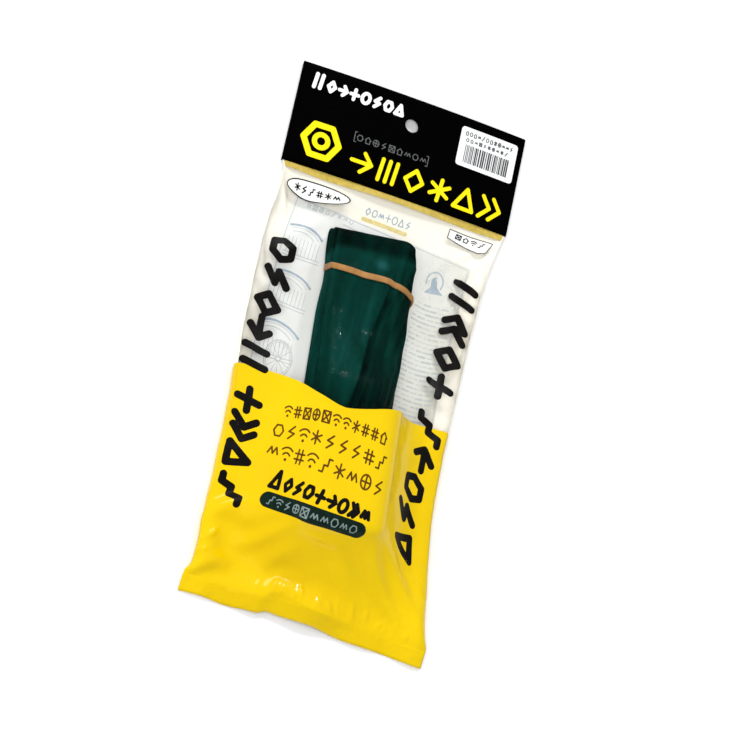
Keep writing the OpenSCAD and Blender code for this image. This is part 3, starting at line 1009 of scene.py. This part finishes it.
SIGNS["arcs"] += [circle(0, -0.9, 0.1)]
FINE_SIGNS = "grid crate target roof steps spokes wave nut arcs bolt".split()


class Artwork:
    """Flat artwork held as a grid of distances to its edge, below zero inside."""

    def __init__(self, x0, y0, x1, y1, cell):
        self.cell = cell
        self.x = np.arange(x0, x1 + cell, cell)
        self.y = np.arange(y0, y1 + cell, cell)
        self.d = np.full((len(self.y), len(self.x)), 9.0)

    def window(self, points, reach):
        p = np.asarray(points, float)
        low, high = p.min(0) - reach, p.max(0) + reach
        i0, i1 = np.searchsorted(self.y, (low[1], high[1]))
        j0, j1 = np.searchsorted(self.x, (low[0], high[0]))
        area = (slice(i0, i1 + 1), slice(j0, j1 + 1))
        return area, self.x[area[1]][None, :], self.y[area[0]][:, None]

    def stroke(self, points, width):
        for a, b in zip(points, points[1:]):
            area, x, y = self.window([a, b], width / 2 + 2 * self.cell)
            self.d[area] = np.minimum(self.d[area], on_line(x, y, a, b)[1] - width / 2)

    def fill(self, points):
        area, x, y = self.window(points, 2 * self.cell)
        away = np.full(np.broadcast_shapes(x.shape, y.shape), 9.0)
        inside = np.zeros(away.shape, bool)
        closed = list(points) + [points[0]]
        for a, b in zip(closed, closed[1:]):
            away = np.minimum(away, on_line(x, y, a, b)[1])
            if a[1] != b[1]:
                crosses = (a[1] > y) != (b[1] > y)
                inside ^= crosses & (x < (b[0] - a[0]) * (y - a[1]) / (b[1] - a[1]) + a[0])
        self.d[area] = np.minimum(self.d[area], np.where(inside, -away, away))

    def sign(self, kind, cx, cy, w, h, width, turn=0.0, slant=0.0):
        """Draws a sign in a box w by h about a place, turned by an angle in degrees."""
        c, s = math.cos(math.radians(turn)), math.sin(math.radians(turn))
        rx, ry = (w - width) / 2, (h - width) / 2
        for line in SIGNS[kind]:
            placed = []
            for a, b in line:
                px, py = a * rx + b * ry * slant, b * ry
                placed.append((cx + px * c - py * s, cy + px * s + py * c))
            self.stroke(placed, width)

    def row(self, kinds, start, pitch, w, h, width, turn=0.0, slant=0.0):
        """Draws a row of signs from a start place along a direction."""
        c, s = math.cos(math.radians(turn)), math.sin(math.radians(turn))
        for k, kind in enumerate(kinds):
            if kind:
                self.sign(kind, start[0] + k * pitch * c, start[1] + k * pitch * s, w, h, width, turn, slant)

    def mesh(self):
        """Points and faces of the inked area."""
        inside = self.d < 0
        points, faces, known = [], [], {}

        def corner(a):
            if a not in known:
                known[a] = len(points)
                points.append((self.x[a[1]], self.y[a[0]]))
            return known[a]

        def crossing(a, b):
            key = (min(a, b), max(a, b))
            if key not in known:
                a, b = key
                t = min(0.94, max(0.06, self.d[a] / (self.d[a] - self.d[b])))
                known[key] = len(points)
                x = self.x[a[1]] + t * (self.x[b[1]] - self.x[a[1]])
                y = self.y[a[0]] + t * (self.y[b[0]] - self.y[a[0]])
                points.append((x, y))
            return known[key]

        touched = inside[:-1, :-1] | inside[1:, :-1] | inside[:-1, 1:] | inside[1:, 1:]
        for i, j in zip(*(k.tolist() for k in np.nonzero(touched))):
            ring = ((i, j), (i, j + 1), (i + 1, j + 1), (i + 1, j))
            loop = []
            for a, b in zip(ring, ring[1:] + ring[:1]):
                if inside[a]:
                    loop.append(corner(a))
                if inside[a] != inside[b]:
                    loop.append(crossing(a, b))
            if len(loop) > 2:
                faces.append(tuple(loop))
        return np.array(points), faces


INK_T = 0.03


def print_on(name, art, surface, material, thickness=INK_T):
    """Lays artwork on a surface, which gives the points on it and the directions out of it. The slot that the
    surface also carries is not used.
    """
    place, slot = surface
    flat, faces = art.mesh()
    points, out = place(flat[:, 0], flat[:, 1])
    piece = add_mesh(name, points + out * (thickness + 0.03), faces, [material], False)
    thicken(piece, thickness)
    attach(piece, "root")
    return piece


def on_web(lift, front, side, folds, slot):
    """Surface of a web, on the side that faces up (1) or down (-1)."""

    def place(x, y):
        out = side * film.normal(x + BAG_W / 2, y, front)
        raised = lift + side * fold_height(x, y, folds)
        return film.at(x + BAG_W / 2, y, front) + out * raised[:, None], out

    return place, slot


def on_front(lift=0.0):
    return on_web(lift, True, 1, FOLDS, "printed_film")


def in_back(lift=0.0):
    """Inside of the back web, seen through the clear film."""
    return on_web(lift + FILM_T, False, 1, BACK_FOLDS, "clear_film")


def behind_back(lift=0.0):
    """Outside of the back web."""
    return on_web(lift, False, -1, BACK_FOLDS, "clear_film")


def on_header(lift=0.0, slot="printed_card"):
    def place(x, y):
        out = np.tile((0.0, 0.0, 1.0), (len(x), 1))
        return np.column_stack([x, y, CARD_HIGH - header_droop(x) + lift]), out

    return place, slot


BLACK_INK = ink("black_ink", (0.0035, 0.0028, 0.0025), 0.38, 0.3, 0.12)
BROWN_INK = ink("brown_ink", (0.115, 0.045, 0.002), 0.42, 0.2, 0.15)
WHITE_INK = ink("white_ink", (0.93, 0.93, 0.91), 0.4, 0.04)
GREY_INK = ink("grey_ink", (0.11, 0.115, 0.115), 0.45, 0.15, 0.15)
LABEL_INK = ink("label_ink", (0.045, 0.048, 0.05), 0.45, 0.15, 0.15)
PALE_INK = ink("pale_ink", (0.2, 0.27, 0.26), 0.45, 0.15, 0.15)
YELLOW_INK = ink("header_yellow", (1.0, 0.79, 0.005), 0.4, 0.04, 0.1)
BAR_GREEN = ink("pill_green", (0.0035, 0.014, 0.009), 0.35, 0.3, 0.15)
BLUE_INK = ink("blue_ink", (0.40, 0.48, 0.55), 0.45, 0.1, 0.15)
MIST_INK = ink("mist_ink", (0.57, 0.60, 0.59), 0.45, 0.08, 0.15)
SAND_INK = ink("sand_ink", (0.76, 0.64, 0.28), 0.45, 0.1, 0.15)
# Tan colour of the header's painted shadow.
HEADER_SHADOW_INK = ink("painted_shadow_ink", (0.58, 0.43, 0.085), 0.4, 0.14, 0.1)
ON_INK = INK_T + 0.02


def random_signs(seed, count):
    rng = np.random.default_rng(seed)
    return [FINE_SIGNS[k] for k in rng.integers(0, len(FINE_SIGNS), count)]


def print_columns():
    """Two columns of bold slanted signs: one runs down the left side and one up the right side."""
    left = (
        ("nut", -48.8, 165), ("bolt", -48.6, 151.5), ("diamond", -50.4, 138.5), ("arrow", -51.6, 127),
        ("pair", -52.0, 113.2), ("plus", -52.2, 93), ("chevrons", -52.0, 80), ("triangle", -52.0, 66.5),
        ("steps", -51.0, 51),
    )
    right = (
        ("pair", 50.5, 175), ("chevrons", 50.5, 158.5), ("diamond", 50.5, 143), ("plus", 49.6, 129),
        ("steps", 49, 107), ("arrow", 49, 91.5), ("nut", 46.3, 77.5), ("bolt", 43.6, 65.5),
        ("triangle", 43.3, 51.5),
    )
    for name, area, signs, shape in (
        ("side_signs_left", (-59, 38, -36, 178), left, (13.2, 13.6, 3.4, -90, 0.29)),
        ("side_signs_right", (32, 38, 59, 182), right, (13.6, 14.0, 3.4, 90, 0.41)),
    ):
        art = Artwork(*area, 0.35)
        for kind, x, y in signs:
            art.sign(kind, x, y, *shape)
        print_on(name, art, on_front(), BLACK_INK)


def print_block():
    """Three thin rows, a bold row and a rounded bar over the bundle."""
    rows = Artwork(-42, 58, 22, 100, 0.2)
    for seed, x0, x1, y0, y1, count, high, width in (
        (3, -33.4, 12.8, 90.6, 88.2, 11, 5.4, 0.72),
        (4, -36.4, 13.8, 81.8, 78.2, 9, 6.4, 0.78),
        (5, -36.8, 14.4, 72.6, 67.8, 9, 6.8, 0.78),
    ):
        turn = math.degrees(math.atan2(y1 - y0, x1 - x0))
        pitch = math.hypot(x1 - x0, y1 - y0) / (count - 1)
        rows.row(random_signs(seed, count), (x0, y0), pitch, pitch * 0.84, high, width, turn)
    print_on("brown_rows", rows, on_front(), BROWN_INK)
    bold = Artwork(-40, 46, 20, 70, 0.28)
    bold.sign("triangle", -31.8, 60.0, 6.2, 9.6, 1.8, -5.0, 0.15)
    kinds = "diamond bolt nut plus arrow ring chevrons wave".split()
    bold.row(kinds, (-25.8, 58.8), 5.2, 5.1, 7.0, 1.65, -5.0, 0.15)
    print_on("bold_row", bold, on_front(), BLACK_INK)
    bar = Artwork(-40, 38, 22, 58, 0.35)
    bar.stroke([(-33.4, 50.7), (8.6, 48.6)], 7.0)
    print_on("rounded_bar", bar, on_front(), BAR_GREEN)
    marks = Artwork(-40, 38, 22, 58, 0.18)
    marks.row(random_signs(9, 10), (-31.6, 50.6), 4.25, 3.5, 4.0, 0.5, -3.0)
    print_on("bar_marks", marks, on_front(ON_INK), PALE_INK)


def print_tags():
    """An oval and a square-cornered tag under the header, and a tan strip of painted shadow along the
    header's lower edge.
    """
    turn = 2.0
    c, s = math.cos(math.radians(turn)), math.sin(math.radians(turn))
    oval = [(-38.6 + x * c - y * s, 199.4 + x * s + y * c) for x, y in circle(0, 0, 16.8, 5.3)]
    square = [(31.2, 204.6), (55.0, 204.4), (53.4, 198.6), (49.6, 197.4), (31.4, 199.6)]
    for name, outline, area, line, seed, count, row in (
        ("oval_tag", oval, (-58, 190, -18, 209), 0.62, 31, 6, ((-49.2, 199.0), 4.2, 3.6, 4.4, 0.66, turn)),
        ("square_tag", square, (28, 192, 58, 208), 0.4, 35, 4, ((37.0, 202.2), 4.3, 3.4, 2.8, 0.5, -2.0)),
    ):
        tag = Artwork(*area, 0.35)
        tag.fill(outline)
        print_on(name, tag, on_front(), WHITE_INK)
        lines = Artwork(*area, 0.2)
        lines.stroke(outline + outline[:1], line)
        lines.row(random_signs(seed, count), *row)
        print_on(name + "_lines", lines, on_front(ON_INK), BLACK_INK)
    # Painted shadow: a tan strip just below the header's lower edge stands for the shadow the header casts on
    # the film.
    strip = Artwork(-58.6, 205, 58.6, 214, 0.6)
    strip.fill(box_outline(-58, 207.6, 58, 212.8)[:4])
    print_on("gold_strip", strip, on_front(), HEADER_SHADOW_INK)


def print_header():
    """A bold white row, a thin grey row between brackets, and large yellow signs."""
    white = Artwork(-56, 110, -2, 132, 0.28)
    white.sign("pair", -48.9, 123.0, 5.8, 8.6, 1.9, 0, 0.1)
    kinds = "diamond arrow plus ring bolt nut triangle".split()
    white.row(kinds, (-42.2, 122.2), 5.75, 5.5, 6.8, 1.75, 0, 0.1)
    print_on("header_bold_row", white, on_header(), WHITE_INK)
    grey = Artwork(-29, 98, 15, 107, 0.16)
    for x, side in ((-26.3, 1), (11.2, -1)):
        grey.stroke([(x + side, 104.6), (x, 104.6), (x, 99.6), (x + side, 99.6)], 0.4)
    grey.row(random_signs(8, 9), (-23.6, 102.1), 4.05, 3.3, 3.6, 0.42)
    print_on("header_small_row", grey, on_header(), GREY_INK)
    yellow = Artwork(-56, 81, 56, 107, 0.3)
    yellow.sign("nut", -41.5, 94.3, 20.5, 20.5, 3.0)
    yellow.sign("ring", -41.5, 94.3, 9.0, 9.0, 2.5)
    kinds = "arrow bars diamond spokes triangle chevrons".split()
    yellow.row(kinds, (-20.4, 90.6), 13.4, 11.8, 12.6, 1.95, -0.4, 0.1)
    print_on("header_yellow_signs", yellow, on_header(), YELLOW_INK)


LABEL_X, LABEL_Y, LABEL_W, LABEL_H, LABEL_T = 39.5, 116.0, 30.0, 20.0, 0.15
LABEL_CORNER = 1.5


def make_label():
    """The price label, with two rows of signs and a row of bars."""
    sheet = Artwork(LABEL_X - 16, LABEL_Y - 11, LABEL_X + 16, LABEL_Y + 11, 0.8)
    corners = []
    for sx, sy, start in ((1, 1, 0), (-1, 1, 90), (-1, -1, 180), (1, -1, 270)):
        cx = LABEL_X + sx * (LABEL_W / 2 - LABEL_CORNER)
        cy = LABEL_Y + sy * (LABEL_H / 2 - LABEL_CORNER)
        corners += circle(cx, cy, LABEL_CORNER, None, start, start + 90)
    sheet.fill(corners)
    label = print_on("label_sheet", sheet, on_header(-0.02, "label_paper"), PAPER, LABEL_T)
    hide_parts("price_label")
    on_label = on_header(LABEL_T + 0.01, "label_paper")
    marks = Artwork(25, 106.5, 54, 125.5, 0.14)
    marks.row(random_signs(21, 12), (27.6, 122.9), 2.15, 1.75, 2.4, 0.36)
    marks.row(random_signs(22, 10), (28.4, 119.6), 2.3, 1.7, 2.0, 0.34)
    print_on("label_rows", marks, on_label, LABEL_INK)
    bars = Artwork(26, 106.8, 53, 118, 0.14)
    rng = np.random.default_rng(21)
    x = 28.0
    while x < 50.4:
        wide = float(rng.choice((0.22, 0.36, 0.5, 0.75)))
        bars.fill(box_outline(x, 108.2, x + wide, 117.2)[:4])
        x += wide + float(rng.choice((0.26, 0.34, 0.55)))
    print_on("label_bars", bars, on_label, LABEL_INK)


def draw_wheel(art, cx, cy):
    for r, tall, width in ((6.8, 8.6, 0.5), (6.0, 7.7, 0.3), (1.1, 1.4, 0.5)):
        art.stroke(circle(cx, cy, r, tall), width)
    for k in range(12):
        a = math.radians(30 * k + 8)
        art.stroke([(cx + r * math.cos(a), cy + 1.25 * r * math.sin(a)) for r in (1.0, 6.0)], 0.3)


def draw_arches(blue, pale):
    for base, reach in ((132.0, 15.0), (157.0, 14.0), (181.0, 13.0)):
        centre = (-38.0, base - 8)
        blue.stroke(circle(*centre, reach, reach * 0.75, 35, 118), 1.1)
        for r in (reach - 1.8, reach - 4.2):
            pale.stroke(circle(*centre, r, r * 0.75, 35, 118), 0.36)
        for k in range(9):
            x = -43 + 1.9 * k
            pale.stroke([(x, base - 12.5), (x, base - 4.5 - 0.02 * (k - 3) ** 2)], 0.3)
        for y in (base - 12.7, base - 14.2):
            pale.stroke([(-44.5, y), (-26, y)], 0.4)


def draw_text_lines(art):
    """Rows of dashes of uneven length and weight, where the back web has fine print."""
    rng = np.random.default_rng(14)
    for k in range(26):
        x, y = 24.0 + float(rng.uniform(0, 1.5)), 167.0 - 2.25 * k
        while x < 42.5:
            long = float(rng.uniform(0.7, 4.6))
            ends = np.array([x, min(x + long, 43.4)])
            rise = 0.012 * (ends - 24.0) ** 2 - 0.2 * (ends - 24.0)
            art.stroke(list(zip(ends, y + rise)), float(rng.choice((0.3, 0.45, 0.8, 1.0))))
            x += long + float(rng.uniform(0.8, 1.6))


def draw_back():
    """Line drawings on the back web, which show through the clear film, and again on its outside."""
    panel = Artwork(-52, 100, 52, 202, 0.8)
    panel.fill([(-46.5, 104), (46.5, 104), (46.5, 190.5), (-46.5, 196.5)])
    blue = Artwork(-52, 106, 52, 206, 0.24)
    pale = Artwork(-52, 106, 52, 206, 0.24)
    draw_wheel(pale, -33.0, 118.6)
    draw_arches(blue, pale)
    for k in range(8):
        pale.sign(FINE_SIGNS[k], -39 + 3.2 * k, 193.4 - 0.12 * k, 2.4, 2.6, 0.34)
    pale.stroke([(-45.5, 108), (-45.5, 195.5), (45.5, 189.5), (45.5, 108)], 0.4)
    pale.stroke([(-20, 190.0), (16, 187.6)], 0.4)
    blue.fill([(31.4, 181.5), (32.8, 176.0), (36.6, 173.0), (27.0, 172.2), (29.6, 175.6), (29.2, 179.4)])
    blue.stroke(circle(31.0, 178.3, 4.2, 5.0, -30, 200), 0.7)
    draw_text_lines(pale)
    title = Artwork(-18, 192, 18, 208, 0.24)
    title.row("diamond nut wave plus ring triangle bolt".split(), (-10.4, 200.3), 3.5, 3.1, 4.2, 0.55)
    line = Artwork(-18, 190, 18, 206, 0.35)
    line.stroke([(-11.6, 196.2), (10.4, 195.8)], 2.0)
    backing = panel_ink()
    for side, surface in (("inside", in_back), ("outside", behind_back)):
        print_on(f"back_panel_{side}", panel, surface(), backing)
        for kind, art, material in (
            ("drawings", blue, BLUE_INK),
            ("title", title, BLUE_INK),
            ("lines", pale, MIST_INK),
            ("underline", line, SAND_INK),
        ):
            print_on(f"back_{kind}_{side}", art, surface(INK_T + 0.01), material)


print_columns()
print_block()
print_tags()
print_header()
make_label()
draw_back()

# ---------------- floor and last update


def make_floor():
    n = 24
    span = 6000.0
    xs = np.linspace(-span, span, n)
    points = [(x, y, -0.05) for y in xs for x in xs]
    m = Shader("floor_pale", Specular_IOR_Level=0.1, Roughness=0.9)
    m.colour(m.noise(4, 2), (0.3, (0.93, 0.93, 0.93)), (0.7, (0.95, 0.95, 0.95)))
    floor = add_mesh("floor", points, grid_faces(n, n), [m.material], False)


make_floor()

bpy.context.view_layer.update()
